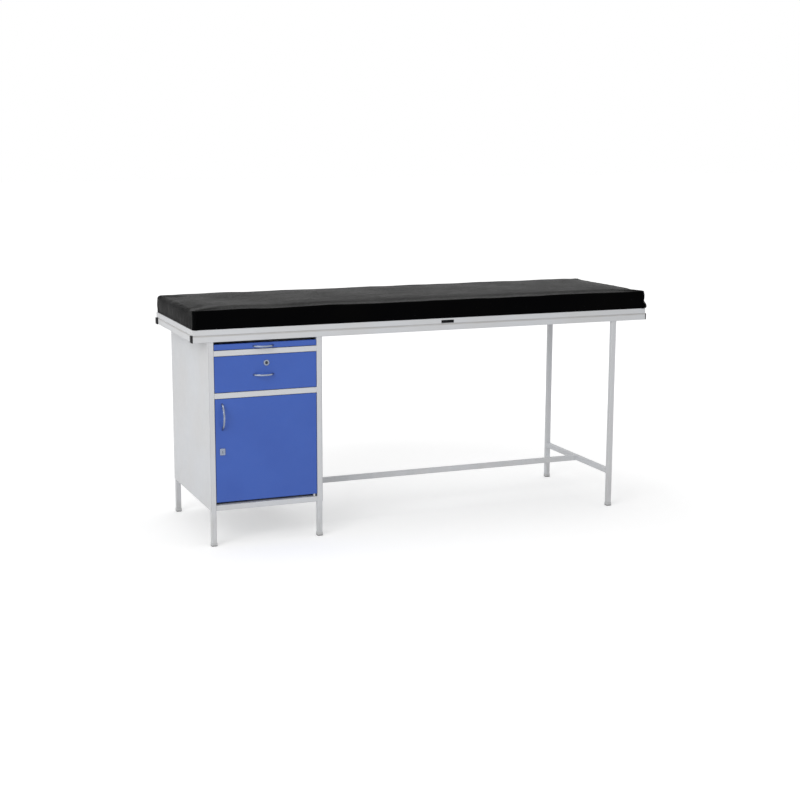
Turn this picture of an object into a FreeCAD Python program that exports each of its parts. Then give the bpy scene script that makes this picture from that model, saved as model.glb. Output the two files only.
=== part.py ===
import FreeCAD, Part
import os

# Examination table with a cabinet under its left end. Millimetres, +X to the right along the table,
# +Y to the back, +Z up. The origin is on the floor, under the middle of the whole table's box.

Vector = FreeCAD.Vector
X_AXIS, Y_AXIS, Z_AXIS = range(3)
BACK = Vector(0, 1, 0)
UP = Vector(0, 0, 1)
CLOSE = 1e-6

# Driving dimensions: top frame
TOP_LENGTH = 1830.0
TOP_WIDTH = 556.0
TOP_TUBE = 25.0
TOP_TUBE_WALL = 1.5
TUBE_CORNER = 2.0
TUBE_UNDERSIDE = 747.0
PLUG_HEAD = 5.0
PLUG_EDGE = 1.5
PLUG_DEPTH = 14.0
PLUG_FIT = 0.1

# Driving dimensions: table-top sheet and what is under it
TOP_SHEET = 1.2
TOP_EDGE = 20.0
TOP_RETURN = 18.0
FOLD_RADIUS = 2.0
STIFFENER_WIDTH = 40.0
STIFFENER_COUNT = 4
STIFFENER_FIT = 0.2
NAME_PLATE_LENGTH = 50.0
NAME_PLATE_HEIGHT = 11.0
NAME_PLATE_THICKNESS = 1.0
NAME_PLATE_OFFSET = 62.0
NAME_PLATE_LIFT = 8.0

# Driving dimensions: pad
PAD_HEIGHT = 70.0
PAD_INSET = 1.0
PAD_CORNER = 14.0
PAD_EDGE_RADIUS = 10.0
PAD_COVER = 1.2
PAD_FIT = 0.2
PAD_HEM = 30.0
PAD_BOARD = 12.0
PAD_SCREW_SPREAD = 300.0
PAD_SCREW_RADIUS = 2.25
PAD_SCREW_HEAD_RADIUS = 4.5
PAD_SCREW_HEAD = 2.5
PAD_SCREW_BITE = 9.0

# Driving dimensions: legs and base
LEG = 19.0
LEG_WALL = 1.4
RAIL = 20.0
LEFT_OVERHANG = 55.0
RIGHT_OVERHANG = 127.0
FOOT_HEIGHT = 14.0
FOOT_FLARE = 1.2
FOOT_PLUG_DEPTH = 18.0
FOOT_EDGE = 1.0

# Driving dimensions: cabinet
CABINET_WIDTH = 425.0
PANEL = 1.0
TRAY_OPENING = 32.0
DRAWER_OPENING = 133.0
DOOR_OPENING = 390.5

# Driving dimensions: runners, tray and drawer
RUNNER = 15.0
RUNNER_SHEET = 1.5
RUN_CLEAR = 0.3
RUN_SIDE = 0.8
STOP_GAP = 0.5
FRONT_RECESS = 0.5
FRONT_SKIN = 1.2
FRONT_DEPTH = 12.0
FRONT_FLANGE = 8.0
FRONT_SIDE_GAP = 1.5
FRONT_TOP_GAP = 1.5
BOX_SHEET = 1.0
TRAY_FRONT_GAP = 10.0
TRAY_WALL = 16.0
TRAY_BACK_ROOM = 57.5
DRAWER_WALL = 90.0
DRAWER_BACK_ROOM = 57.5
RIVET_RADIUS = 2.0
RIVET_HEAD_RADIUS = 2.8
RIVET_TAIL_RADIUS = 2.4
RIVET_HEAD = 1.2
RIVET_INSET = 40.0
RIVET_FIT = 0.05

# Driving dimensions: door and its pivots
DOOR_DEPTH = 18.0
DOOR_SIDE_GAP = 2.0
DOOR_TOP_GAP = 1.5
DOOR_BOTTOM_GAP = 10.5
LINER_SHEET = 1.0
LINER_FIT = 0.1
HINGE_INSET = 9.0
HINGE_DEPTH = 7.0
PIN_RADIUS = 3.0
PIN_HEAD_RADIUS = 4.5
PIN_HEAD = 5.0
PIN_RUN = 0.05
BUSH_RADIUS = 5.0
BUSH_DEPTH = 9.0
BUSH_FLANGE_RADIUS = 6.0
BUSH_FLANGE = 1.0
BUSH_FIT = 0.05
DOOR_STOP_LENGTH = 26.0
DOOR_STOP_HEIGHT = 30.0
DOOR_STOP_SHEET = 1.5
DOOR_STOP_INSET = 40.0

# Driving dimensions: bow handles
HANDLE_BAR_WIDTH = 6.5
HANDLE_BAR_THICKNESS = 4.5
HANDLE_FOOT = 10.0
HANDLE_EDGE = 1.5
FRONT_HANDLE_LENGTH = 80.0
FRONT_HANDLE_REACH = 26.0
DOOR_HANDLE_LENGTH = 100.0
DOOR_HANDLE_REACH = 30.0
FRONT_HANDLE_OFFSET = -9.5
TRAY_HANDLE_LIFT = 9.0
DRAWER_HANDLE_LIFT = 58.0
DOOR_HANDLE_INSET = 25.5
DOOR_HANDLE_DROP = 65.0
SCREW_RADIUS = 1.75
SCREW_FIT = 0.05
SCREW_HEAD_RADIUS = 3.2
SCREW_HEAD = 2.0
SCREW_BITE = 4.0

# Driving dimensions: cam locks
BARREL_RADIUS = 8.5
BARREL_FIT = 0.1
LOCK_PLUG_RADIUS = 6.0
LOCK_PLUG_RUN = 0.05
LOCK_PLUG_RECESS = 1.2
LOCK_FLANGE = 3.0
ROUND_FLANGE_RADIUS = 11.0
PLATE_FLANGE_WIDTH = 20.0
PLATE_FLANGE_HEIGHT = 25.0
PLATE_FLANGE_CORNER = 3.0
LOCK_NUT_RADIUS = 11.0
LOCK_NUT = 3.0
KEY_SLOT_LENGTH = 8.0
KEY_SLOT_WIDTH = 1.8
KEY_SLOT_DEPTH = 6.0
CAM_SHEET = 2.0
CAM_WIDTH = 13.0
CAM_LENGTH = 38.0
CAM_GAP = 1.0
CAM_SQUARE = 6.0
CAM_FIT = 0.05
CAM_SCREW_RADIUS = 1.5
CAM_SCREW_BITE = 7.0
CAM_SCREW_HEAD_RADIUS = 4.5
CAM_SCREW_HEAD = 1.6
DRAWER_LOCK_OFFSET = 1.5
DRAWER_LOCK_DROP = 30.0
DOOR_LOCK_INSET = 24.0
DOOR_LOCK_DROP = 192.0

# Heights worked out from the top down
tube_top = TUBE_UNDERSIDE + TOP_TUBE
sheet_top = tube_top + TOP_EDGE
pad_top = sheet_top + PAD_HEIGHT
upper_rail_top = TUBE_UNDERSIDE - TRAY_OPENING
upper_rail_bottom = upper_rail_top - RAIL
middle_rail_top = upper_rail_bottom - DRAWER_OPENING
middle_rail_bottom = middle_rail_top - RAIL
bottom_rail_top = middle_rail_bottom - DOOR_OPENING
bottom_rail_bottom = bottom_rail_top - RAIL

# Places along the table
table_left = -TOP_LENGTH / 2
table_right = TOP_LENGTH / 2
cabinet_left = table_left + LEFT_OVERHANG
cabinet_right = cabinet_left + CABINET_WIDTH
left_leg_x = (cabinet_left + PANEL, cabinet_left + PANEL + LEG)
middle_leg_x = (cabinet_right - PANEL - LEG, cabinet_right - PANEL)
right_leg_x = (table_right - RIGHT_OVERHANG - LEG, table_right - RIGHT_OVERHANG)
opening_x = (left_leg_x[1], middle_leg_x[0])
opening_middle = (opening_x[0] + opening_x[1]) / 2

# Places across the table, from its centre plane
half_width = TOP_WIDTH / 2
leg_out = half_width - (TOP_TUBE - LEG) / 2
leg_in = leg_out - LEG
front_leg_y = (-leg_out, -leg_in)
rear_leg_y = (leg_in, leg_out)
between_tubes_y = (-half_width + TOP_TUBE, half_width - TOP_TUBE)
between_legs_y = (-leg_in, leg_in)
face_y = -leg_out + FRONT_RECESS
front_back_y = face_y + FRONT_DEPTH
box_wall_y = front_back_y + BOX_SHEET
tray_back_y = leg_out - TRAY_BACK_ROOM
drawer_back_y = leg_out - DRAWER_BACK_ROOM
door_back_y = face_y + DOOR_DEPTH
cam_y = -leg_in + CAM_GAP

# Tray, drawer and door places
tray_front_x = (opening_x[0] + FRONT_SIDE_GAP, opening_x[1] - FRONT_SIDE_GAP)
box_side = RUNNER_SHEET + RUN_SIDE
box_x = (opening_x[0] + box_side, opening_x[1] - box_side)
tray_bottom = upper_rail_top + RUNNER_SHEET + RUN_CLEAR
tray_front_z = (tray_bottom, TUBE_UNDERSIDE - TRAY_FRONT_GAP)
drawer_bottom = middle_rail_top + RUNNER_SHEET + RUN_CLEAR
drawer_front_z = (drawer_bottom, upper_rail_bottom - FRONT_TOP_GAP)
door_x = (opening_x[0] + DOOR_SIDE_GAP, opening_x[1] - DOOR_SIDE_GAP)
door_z = (bottom_rail_top + DOOR_BOTTOM_GAP, middle_rail_bottom - DOOR_TOP_GAP)
hinge_x = door_x[1] - HINGE_INSET
hinge_y = face_y + HINGE_DEPTH
handle_x = opening_middle + FRONT_HANDLE_OFFSET
tray_handle_z = tray_front_z[0] + TRAY_HANDLE_LIFT
drawer_handle_z = drawer_front_z[0] + DRAWER_HANDLE_LIFT
door_handle_x = door_x[0] + DOOR_HANDLE_INSET
door_handle_z = door_z[1] - DOOR_HANDLE_DROP
drawer_lock_x = opening_middle + DRAWER_LOCK_OFFSET
drawer_lock_z = drawer_front_z[1] - DRAWER_LOCK_DROP
door_lock_x = door_x[0] + DOOR_LOCK_INSET
door_lock_z = door_z[1] - DOOR_LOCK_DROP

# The handles stand out at the front only, so the centre plane lies behind the middle of the whole box
front_reach = max(FRONT_HANDLE_REACH, DOOR_HANDLE_REACH) - face_y
centre_plane_y = (front_reach - half_width) / 2


def block(x, y, z):
    """A box from its (low, high) span on each axis."""
    return Part.makeBox(x[1] - x[0], y[1] - y[0], z[1] - z[0], Vector(x[0], y[0], z[0]))


def shrunk(span, by):
    """A span with the same amount taken off both ends."""
    return (span[0] + by, span[1] - by)


def around(middle, size):
    """A span of a given size about a middle."""
    return (middle - size / 2, middle + size / 2)


def edges_along(shape, axis):
    """The straight edges of a box that run along an axis."""
    found = []
    for edge in shape.Edges:
        run = edge.Vertexes[-1].Point - edge.Vertexes[0].Point
        if max(abs(run[i]) for i in range(3) if i != axis) < CLOSE:
            found.append(edge)
    return found


def edges_at(shape, axis, place):
    """The edges that lie wholly in the plane across an axis at a place."""
    return [
        edge for edge in shape.Edges
        if all(abs(corner.Point[axis] - place) < CLOSE for corner in edge.Vertexes)
    ]


def rounded_bar(x, y, z, axis, radius):
    """A box with its four edges along an axis rounded."""
    bar = block(x, y, z)
    return bar.makeFillet(radius, edges_along(bar, axis))


def square_tube(x, y, z, axis, wall):
    """A hollow tube with rounded corners, open at both ends."""
    bore = [span if i == axis else shrunk(span, wall) for i, span in enumerate((x, y, z))]
    bore_corner = max(TUBE_CORNER - wall, TUBE_CORNER / 4)
    return rounded_bar(x, y, z, axis, TUBE_CORNER).cut(rounded_bar(*bore, axis, bore_corner))


def rod(x, y, z, direction, radius, length):
    """A round rod that starts at a point."""
    return Part.makeCylinder(radius, length, Vector(x, y, z), direction)


def joined(shapes):
    """One solid from shapes that overlap or share faces."""
    return shapes[0].fuse(shapes[1:]).removeSplitter()


def cut_all(shape, tools):
    """A shape with every tool taken away from it."""
    for tool in tools:
        shape = shape.cut(tool)
    return shape


def top_frame():
    """Long tubes, end tubes, cross tubes over the legs, and the plugs in the long tubes' ends."""
    tube_z = (TUBE_UNDERSIDE, tube_top)
    long_x = (table_left, table_right)
    front_y = (-half_width, between_tubes_y[0])
    rear_y = (between_tubes_y[1], half_width)
    leg_middles = [sum(span) / 2 for span in (left_leg_x, middle_leg_x, right_leg_x)]
    cross_middles = leg_middles + [(leg_middles[1] + leg_middles[2]) / 2]
    left_end_x = (table_left, table_left + TOP_TUBE)
    right_end_x = (table_right - TOP_TUBE, table_right)
    plugs = []
    for tube_y in (front_y, rear_y):
        for end, inward in ((table_left, 1), (table_right, -1)):
            head_x = sorted((end, end - inward * PLUG_HEAD))
            plug_x = sorted((end, end + inward * PLUG_DEPTH))
            inside = TOP_TUBE_WALL + PLUG_FIT
            head = rounded_bar(head_x, tube_y, tube_z, X_AXIS, TUBE_CORNER)
            head = head.makeFillet(PLUG_EDGE, edges_at(head, X_AXIS, end - inward * PLUG_HEAD))
            plug = block(plug_x, shrunk(tube_y, inside), shrunk(tube_z, inside))
            relief = max(TUBE_CORNER - TOP_TUBE_WALL, TUBE_CORNER / 4)
            plug = plug.makeFillet(relief, edges_along(plug, X_AXIS))
            plugs.append(joined([head, plug]))
    return {
        "front_top_tube": square_tube(long_x, front_y, tube_z, X_AXIS, TOP_TUBE_WALL),
        "rear_top_tube": square_tube(long_x, rear_y, tube_z, X_AXIS, TOP_TUBE_WALL),
        "left_end_tube": square_tube(left_end_x, between_tubes_y, tube_z, Y_AXIS, TOP_TUBE_WALL),
        "right_end_tube": square_tube(right_end_x, between_tubes_y, tube_z, Y_AXIS, TOP_TUBE_WALL),
        "top_cross_tubes": [
            square_tube(around(middle, TOP_TUBE), between_tubes_y, tube_z, Y_AXIS, TOP_TUBE_WALL)
            for middle in cross_middles
        ],
        "tube_end_plugs": plugs,
    }


def pad_screw_places():
    """Where the pad's screws pass through the sheet: between the stiffeners, in two rows."""
    pitch = TOP_LENGTH / STIFFENER_COUNT
    along = [table_left + pitch * (i + 1) for i in range(STIFFENER_COUNT - 1)]
    return [(x, y) for x in along for y in around(0, PAD_SCREW_SPREAD)]


def table_top():
    """The folded sheet on the tubes, its stiffeners, the blank plate on its edge and the pad's screws."""
    sheet_x = (table_left, table_right)
    sheet_y = (-half_width, half_width)
    sheet_z = (tube_top, sheet_top)
    outer = block(sheet_x, sheet_y, sheet_z)
    folds = edges_at(outer, Z_AXIS, sheet_top) + edges_at(outer, Z_AXIS, tube_top)
    outer = outer.makeFillet(FOLD_RADIUS, folds)
    hollow = block(shrunk(sheet_x, TOP_SHEET), shrunk(sheet_y, TOP_SHEET), shrunk(sheet_z, TOP_SHEET))
    mouth_z = (tube_top, tube_top + TOP_SHEET)
    mouth = block(shrunk(sheet_x, TOP_RETURN), shrunk(sheet_y, TOP_RETURN), mouth_z)
    under_sheet = sheet_top - TOP_SHEET
    thread_radius = PAD_SCREW_RADIUS + SCREW_FIT
    holes = [
        rod(x, y, under_sheet, UP, thread_radius, TOP_SHEET) for x, y in pad_screw_places()
    ]
    stiffeners = []
    pitch = TOP_LENGTH / STIFFENER_COUNT
    channel_z = (tube_top + TOP_SHEET, under_sheet)
    for i in range(STIFFENER_COUNT):
        channel_x = around(table_left + pitch * (i + 0.5), STIFFENER_WIDTH)
        channel_y = shrunk(sheet_y, TOP_SHEET + STIFFENER_FIT)
        trough_z = (channel_z[0], channel_z[1] - TOP_SHEET)
        trough = block(shrunk(channel_x, TOP_SHEET), channel_y, trough_z)
        stiffeners.append(block(channel_x, channel_y, channel_z).cut(trough))
    plate_middle = tube_top + NAME_PLATE_LIFT
    plate = block(
        around(NAME_PLATE_OFFSET, NAME_PLATE_LENGTH),
        (-half_width - NAME_PLATE_THICKNESS, -half_width),
        around(plate_middle, NAME_PLATE_HEIGHT),
    )
    board_bottom = sheet_top + PAD_COVER
    shank = board_bottom + PAD_SCREW_BITE - under_sheet
    screws = []
    for x, y in pad_screw_places():
        head = rod(x, y, under_sheet - PAD_SCREW_HEAD, UP, PAD_SCREW_HEAD_RADIUS, PAD_SCREW_HEAD)
        screws.append(joined([head, rod(x, y, under_sheet, UP, PAD_SCREW_RADIUS, shank)]))
    return {
        "top_sheet": cut_all(outer, [hollow, mouth] + holes),
        "top_stiffeners": stiffeners,
        "name_plate": plate,
        "pad_screws": screws,
    }


def pad_block(inset, bottom, top, edge_radius):
    """The pad's outline at an inset from its cover's outside, rounded at its corners and top edges."""
    pad_x = shrunk((table_left, table_right), PAD_INSET + inset)
    pad_y = shrunk((-half_width, half_width), PAD_INSET + inset)
    shape = rounded_bar(pad_x, pad_y, (bottom, top), Z_AXIS, PAD_CORNER - inset)
    if edge_radius:
        shape = shape.makeFillet(edge_radius, edges_at(shape, Z_AXIS, top))
    return shape


def pad():
    """A board with foam on it, in a cover that is turned under the board's edges."""
    board_bottom = sheet_top + PAD_COVER
    board_top = board_bottom + PAD_BOARD
    inside_top = pad_top - PAD_COVER
    foam_inset = PAD_COVER + PAD_FIT
    outside = pad_block(0, sheet_top, pad_top, PAD_EDGE_RADIUS)
    inside = pad_block(PAD_COVER, board_bottom, inside_top, PAD_EDGE_RADIUS - PAD_COVER)
    hem_x = shrunk((table_left, table_right), PAD_INSET + PAD_HEM)
    hem_y = shrunk((-half_width, half_width), PAD_INSET + PAD_HEM)
    mouth = block(hem_x, hem_y, (sheet_top, board_bottom))
    foam = pad_block(foam_inset, board_top, inside_top - PAD_FIT, PAD_EDGE_RADIUS - foam_inset)
    board = pad_block(foam_inset, board_bottom, board_top, 0)
    thread_radius = PAD_SCREW_RADIUS + SCREW_FIT
    pilots = [
        rod(x, y, board_bottom, UP, thread_radius, PAD_SCREW_BITE) for x, y in pad_screw_places()
    ]
    return {
        "pad_cover": cut_all(outside, [inside, mouth]),
        "pad_foam": foam,
        "pad_board": cut_all(board, pilots),
    }


def legs_and_base():
    """Six legs on plastic feet, the right legs' crossbar and the stretcher to the cabinet."""
    columns = {"left": left_leg_x, "middle": middle_leg_x, "right": right_leg_x}
    rows = {"front": front_leg_y, "rear": rear_leg_y}
    pieces = {}
    feet = []
    for side, leg_x in columns.items():
        for row, leg_y in rows.items():
            leg_z = (FOOT_HEIGHT, TUBE_UNDERSIDE)
            pieces[f"{side}_{row}_leg"] = square_tube(leg_x, leg_y, leg_z, Z_AXIS, LEG_WALL)
            foot_x = shrunk(leg_x, -FOOT_FLARE)
            foot_y = shrunk(leg_y, -FOOT_FLARE)
            pad_of_foot = rounded_bar(foot_x, foot_y, (0, FOOT_HEIGHT), Z_AXIS, TUBE_CORNER + FOOT_FLARE)
            rims = edges_at(pad_of_foot, Z_AXIS, FOOT_HEIGHT) + edges_at(pad_of_foot, Z_AXIS, 0)
            pad_of_foot = pad_of_foot.makeChamfer(FOOT_EDGE, rims)
            inside = LEG_WALL + PLUG_FIT
            plug_z = (FOOT_HEIGHT - FOOT_EDGE, FOOT_HEIGHT + FOOT_PLUG_DEPTH)
            plug = rounded_bar(shrunk(leg_x, inside), shrunk(leg_y, inside), plug_z, Z_AXIS, TUBE_CORNER / 2)
            feet.append(joined([pad_of_foot, plug]))
    base_z = (bottom_rail_bottom, bottom_rail_top)
    stretcher_x = (cabinet_right, right_leg_x[0])
    pieces["foot_plugs"] = feet
    pieces["right_crossbar"] = square_tube(right_leg_x, between_legs_y, base_z, Y_AXIS, LEG_WALL)
    pieces["stretcher"] = square_tube(stretcher_x, around(0, LEG), base_z, X_AXIS, LEG_WALL)
    return pieces


def cabinet_shell():
    """Side, back and floor panels on a base ring of rails, and the rails between the fronts."""
    panel_z = (bottom_rail_bottom, TUBE_UNDERSIDE)
    leg_span_y = (-leg_out, leg_out)
    base_z = (bottom_rail_bottom, bottom_rail_top)
    floor_front = hinge_y + BUSH_FLANGE_RADIUS + STOP_GAP
    floor_z = (bottom_rail_top, bottom_rail_top + PANEL)
    floor_x = (left_leg_x[0], middle_leg_x[1])
    floor_y = (floor_front, leg_out)
    corners = [
        block(leg_x, leg_y, floor_z)
        for leg_x in (left_leg_x, middle_leg_x)
        for leg_y in (front_leg_y, rear_leg_y)
    ]
    bush_holes = [
        rod(hinge_x, hinge_y, middle_rail_bottom, UP, BUSH_RADIUS + BUSH_FIT, LEG_WALL),
        rod(hinge_x, hinge_y, bottom_rail_top - LEG_WALL, UP, BUSH_RADIUS + BUSH_FIT, LEG_WALL),
    ]
    upper_z = (upper_rail_bottom, upper_rail_top)
    middle_z = (middle_rail_bottom, middle_rail_top)
    middle_rail = square_tube(opening_x, front_leg_y, middle_z, X_AXIS, LEG_WALL)
    bottom_rail = square_tube(opening_x, front_leg_y, base_z, X_AXIS, LEG_WALL)
    return {
        "left_side_panel": block((cabinet_left, left_leg_x[0]), leg_span_y, panel_z),
        "right_side_panel": block((middle_leg_x[1], cabinet_right), leg_span_y, panel_z),
        "back_panel": block((cabinet_left, cabinet_right), (leg_out, leg_out + PANEL), panel_z),
        "cabinet_floor": cut_all(block(floor_x, floor_y, floor_z), corners),
        "upper_front_rail": square_tube(opening_x, front_leg_y, upper_z, X_AXIS, LEG_WALL),
        "middle_front_rail": middle_rail.cut(bush_holes[0]),
        "bottom_front_rail": bottom_rail.cut(bush_holes[1]),
        "bottom_rails": [
            square_tube(opening_x, rear_leg_y, base_z, X_AXIS, LEG_WALL),
            square_tube(left_leg_x, between_legs_y, base_z, Y_AXIS, LEG_WALL),
            square_tube(middle_leg_x, between_legs_y, base_z, Y_AXIS, LEG_WALL),
        ],
    }


def runner_pair(seat_z, box_back_y):
    """Two angle runners from front leg to rear leg, each with an upturned stop behind the box."""
    runner_y = (box_wall_y + STOP_GAP, leg_out)
    stop_y = box_back_y + STOP_GAP
    pair = []
    for wall, inward in ((opening_x[0], 1), (opening_x[1], -1)):
        flange_x = sorted((wall, wall + inward * RUNNER))
        upright_x = sorted((wall, wall + inward * RUNNER_SHEET))
        rise_z = (seat_z, seat_z + RUNNER)
        flange = block(flange_x, runner_y, (seat_z, seat_z + RUNNER_SHEET))
        upright = block(upright_x, runner_y, rise_z)
        stop = block(flange_x, (stop_y, stop_y + RUNNER_SHEET), rise_z)
        pair.append(joined([flange, upright, stop]))
    return pair


def folded_front(x, z, depth, flange):
    """A folded steel front: skin, returns and inward flanges at its back."""
    y = (face_y, face_y + depth)
    outer = block(x, y, z)
    outer = outer.makeFillet(FOLD_RADIUS, edges_at(outer, Y_AXIS, face_y))
    inside = block(shrunk(x, FRONT_SKIN), shrunk(y, FRONT_SKIN), shrunk(z, FRONT_SKIN))
    mouth = block(shrunk(x, flange), (y[1] - FRONT_SKIN, y[1]), shrunk(z, flange))
    return cut_all(outer, [inside, mouth])


def open_box(x, y, z):
    """A folded sheet box with an open top."""
    inside = block(shrunk(x, BOX_SHEET), shrunk(y, BOX_SHEET), (z[0] + BOX_SHEET, z[1]))
    return block(x, y, z).cut(inside)


def plate_box(x, y, z):
    """A box welded from flat sheets: its floor, then its side walls and its end walls on the floor."""
    wall_z = (z[0] + BOX_SHEET, z[1])
    between_x = shrunk(x, BOX_SHEET)
    sides = [
        block((x[0], between_x[0]), y, wall_z),
        block((between_x[1], x[1]), y, wall_z),
    ]
    ends = [
        block(between_x, (y[0], y[0] + BOX_SHEET), wall_z),
        block(between_x, (y[1] - BOX_SHEET, y[1]), wall_z),
    ]
    return block(x, y, (z[0], wall_z[0])), sides + ends


def rivet_places(bottom):
    """Where the front wall of a box is riveted to the folded front's lower flange."""
    height = bottom + BOX_SHEET + RIVET_HEAD_RADIUS + RUN_CLEAR
    return [(x, height) for x in shrunk(box_x, RIVET_INSET)]


def rivet_holes(places):
    """Clearance holes for rivets through the wall and the flange in front of it."""
    start = front_back_y - FRONT_SKIN
    depth = FRONT_SKIN + BOX_SHEET
    return [rod(x, start, z, BACK, RIVET_RADIUS + RIVET_FIT, depth) for x, z in places]


def rivets(places):
    """Rivets with a head inside the box and one inside the folded front."""
    start = front_back_y - FRONT_SKIN
    depth = FRONT_SKIN + BOX_SHEET
    made = []
    for x, z in places:
        shank = rod(x, start, z, BACK, RIVET_RADIUS, depth)
        front_head = rod(x, start - RIVET_HEAD, z, BACK, RIVET_TAIL_RADIUS, RIVET_HEAD)
        back_head = rod(x, start + depth, z, BACK, RIVET_HEAD_RADIUS, RIVET_HEAD)
        made.append(joined([front_head, shank, back_head]))
    return made


def screw_spread(length):
    """How far a handle's screws stand from its middle."""
    return (length - HANDLE_FOOT) / 2


def bow_handle(length, reach):
    """A bow handle along X that stands on the plane Y = 0 and bows towards the front."""
    half = length / 2
    inner_half = half - HANDLE_FOOT
    inner_reach = reach - HANDLE_BAR_THICKNESS
    ends = [Vector(-half, 0, 0), Vector(half, 0, 0)]
    inner_ends = [Vector(inner_half, 0, 0), Vector(-inner_half, 0, 0)]
    outline = Part.Wire([
        Part.Arc(ends[0], Vector(0, -reach, 0), ends[1]).toShape(),
        Part.LineSegment(ends[1], inner_ends[0]).toShape(),
        Part.Arc(inner_ends[0], Vector(0, -inner_reach, 0), inner_ends[1]).toShape(),
        Part.LineSegment(inner_ends[1], ends[0]).toShape(),
    ])
    bow = Part.Face(outline).extrude(Vector(0, 0, HANDLE_BAR_WIDTH))
    bow.translate(Vector(0, 0, -HANDLE_BAR_WIDTH / 2))
    rims = [edge for edge in bow.Edges if isinstance(edge.Curve, Part.Circle)]
    bow = bow.makeFillet(HANDLE_EDGE, rims)
    spread = screw_spread(length)
    toward_front = Vector(0, -1, 0)
    sockets = [
        rod(x, 0, 0, toward_front, SCREW_RADIUS + SCREW_FIT, SCREW_BITE) for x in (-spread, spread)
    ]
    return cut_all(bow, sockets)


def handle_screws(places):
    """Screws from inside a front, through its skin and into a handle's feet."""
    made = []
    for x, z in places:
        head = rod(x, face_y + FRONT_SKIN, z, BACK, SCREW_HEAD_RADIUS, SCREW_HEAD)
        shank = rod(x, face_y - SCREW_BITE, z, BACK, SCREW_RADIUS, SCREW_BITE + FRONT_SKIN)
        made.append(joined([head, shank]))
    return made


def screw_holes(places):
    """Clearance holes for handle screws through a front's skin."""
    return [rod(x, face_y, z, BACK, SCREW_RADIUS + SCREW_FIT, FRONT_SKIN) for x, z in places]


def lock_flange_round():
    """A round lock flange about the axis, in front of the plane Y = 0."""
    disc = rod(0, -LOCK_FLANGE, 0, BACK, ROUND_FLANGE_RADIUS, LOCK_FLANGE)
    return disc.makeFillet(LOCK_FLANGE / 2, edges_at(disc, Y_AXIS, -LOCK_FLANGE))


def lock_flange_plate():
    """An upright plate flange with rounded corners, in front of the plane Y = 0."""
    plate = rounded_bar(
        around(0, PLATE_FLANGE_WIDTH),
        (-LOCK_FLANGE, 0),
        around(0, PLATE_FLANGE_HEIGHT),
        Y_AXIS,
        PLATE_FLANGE_CORNER,
    )
    return plate.makeFillet(LOCK_FLANGE / 3, edges_at(plate, Y_AXIS, -LOCK_FLANGE))


def cam_lock(name, flange, x, z, cam_way):
    """A cam lock: body and nut on the front, and the plug, cam and screw that turn with the key."""
    cam_front = cam_y - face_y
    cam_back = cam_front + CAM_SHEET
    barrel_end = cam_front - RUN_CLEAR
    barrel = rod(0, 0, 0, BACK, BARREL_RADIUS, barrel_end)
    bore = rod(0, -LOCK_FLANGE, 0, BACK, LOCK_PLUG_RADIUS + LOCK_PLUG_RUN, LOCK_FLANGE + barrel_end)
    body = joined([flange, barrel]).cut(bore)
    nut = rod(0, FRONT_SKIN, 0, BACK, LOCK_NUT_RADIUS, LOCK_NUT)
    nut = nut.cut(rod(0, FRONT_SKIN, 0, BACK, BARREL_RADIUS + BARREL_FIT, LOCK_NUT))
    plug_face = LOCK_PLUG_RECESS - LOCK_FLANGE
    core = rod(0, plug_face, 0, BACK, LOCK_PLUG_RADIUS, cam_front - plug_face)
    square = block(around(0, CAM_SQUARE), (cam_front, cam_back), around(0, CAM_SQUARE))
    slot_y = (plug_face, plug_face + KEY_SLOT_DEPTH)
    slot = block(around(0, KEY_SLOT_WIDTH), slot_y, around(0, KEY_SLOT_LENGTH))
    screw_start = cam_back - CAM_SCREW_BITE
    thread = rod(0, screw_start, 0, BACK, CAM_SCREW_RADIUS + SCREW_FIT, CAM_SCREW_BITE)
    plug = cut_all(joined([core, square]), [slot, thread])
    tip = CAM_LENGTH - CAM_WIDTH / 2
    arm = block((0, tip), (cam_front, cam_back), around(0, CAM_WIDTH))
    rounds = [rod(end, cam_front, 0, BACK, CAM_WIDTH / 2, CAM_SHEET) for end in (0, tip)]
    square_span = around(0, CAM_SQUARE + 2 * CAM_FIT)
    cam = joined([arm] + rounds).cut(block(square_span, (cam_front, cam_back), square_span))
    cam.rotate(Vector(0, 0, 0), BACK, cam_way)
    screw = joined([
        rod(0, screw_start, 0, BACK, CAM_SCREW_RADIUS, CAM_SCREW_BITE),
        rod(0, cam_back, 0, BACK, CAM_SCREW_HEAD_RADIUS, CAM_SCREW_HEAD),
    ])
    pieces = {"body": body, "nut": nut, "plug": plug, "cam": cam, "screw": screw}
    for shape in pieces.values():
        shape.translate(Vector(x, face_y, z))
    return {f"{name}_{piece}": shape for piece, shape in pieces.items()}


def barrel_hole(x, z, depth):
    """The hole that a lock's barrel passes through, from a front's face."""
    return rod(x, face_y, z, BACK, BARREL_RADIUS + BARREL_FIT, depth)


def tray():
    """The thin pull-out tray."""
    pan_y = (front_back_y, tray_back_y)
    pan_z = (tray_bottom, tray_bottom + TRAY_WALL)
    spread = screw_spread(FRONT_HANDLE_LENGTH)
    screws = [(handle_x - spread, tray_handle_z), (handle_x + spread, tray_handle_z)]
    riveted = rivet_places(tray_bottom)
    front = folded_front(tray_front_x, tray_front_z, FRONT_DEPTH, FRONT_FLANGE)
    handle = bow_handle(FRONT_HANDLE_LENGTH, FRONT_HANDLE_REACH)
    handle.translate(Vector(handle_x, face_y, tray_handle_z))
    return {
        "tray_pan": cut_all(open_box(box_x, pan_y, pan_z), rivet_holes(riveted)),
        "tray_front": cut_all(front, screw_holes(screws) + rivet_holes(riveted)),
        "tray_rivets": rivets(riveted),
        "tray_handle": handle,
        "tray_handle_screws": handle_screws(screws),
        "tray_runners": runner_pair(upper_rail_top, tray_back_y),
    }


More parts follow.
